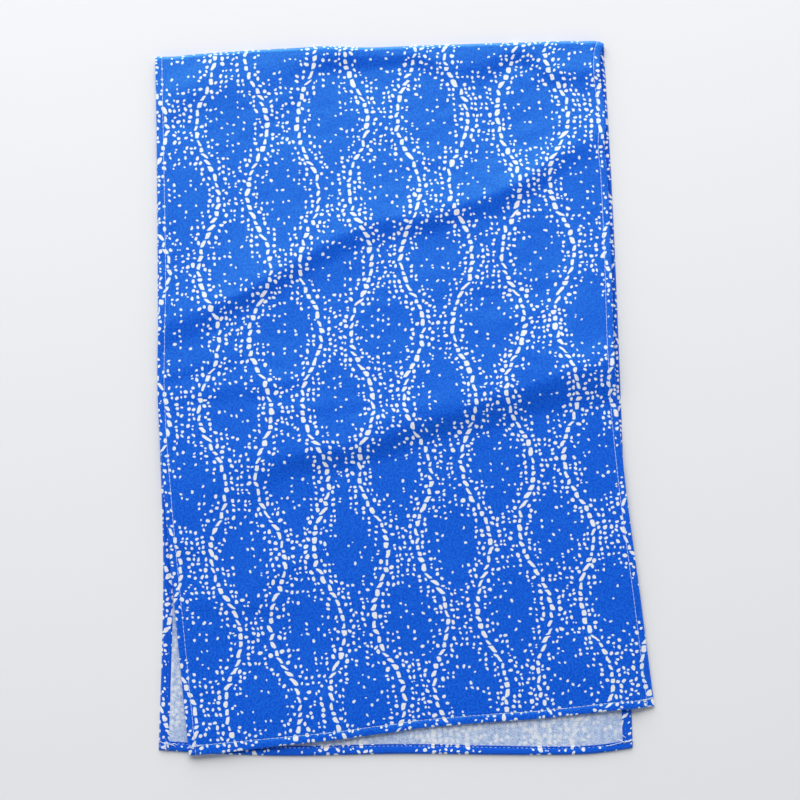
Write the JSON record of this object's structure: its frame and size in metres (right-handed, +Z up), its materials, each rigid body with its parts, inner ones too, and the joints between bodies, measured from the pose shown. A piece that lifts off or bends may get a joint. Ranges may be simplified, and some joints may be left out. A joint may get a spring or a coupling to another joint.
{
  "type": "folded face towel",
  "caption": "Long narrow face towel of printed cotton, hemmed all round, folded once across and laid flat with soft creases and the upper layer a little askew.",
  "frame": {"origin": "middle of the towel's outline, on the surface that it lies on", "axes": "+X across the towel to the right of its open end seen from above, +Y along the towel from the open hemmed end to the fold, +Z up through its layers"},
  "size_m": [0.3576, 0.5316, 0.008],
  "materials": {
    "printed_cotton": "matte",
    "sewing_thread": "satin"
  },
  "bodies": {
    "root": {"towel": "printed_cotton"}
  },
  "joints": []
}
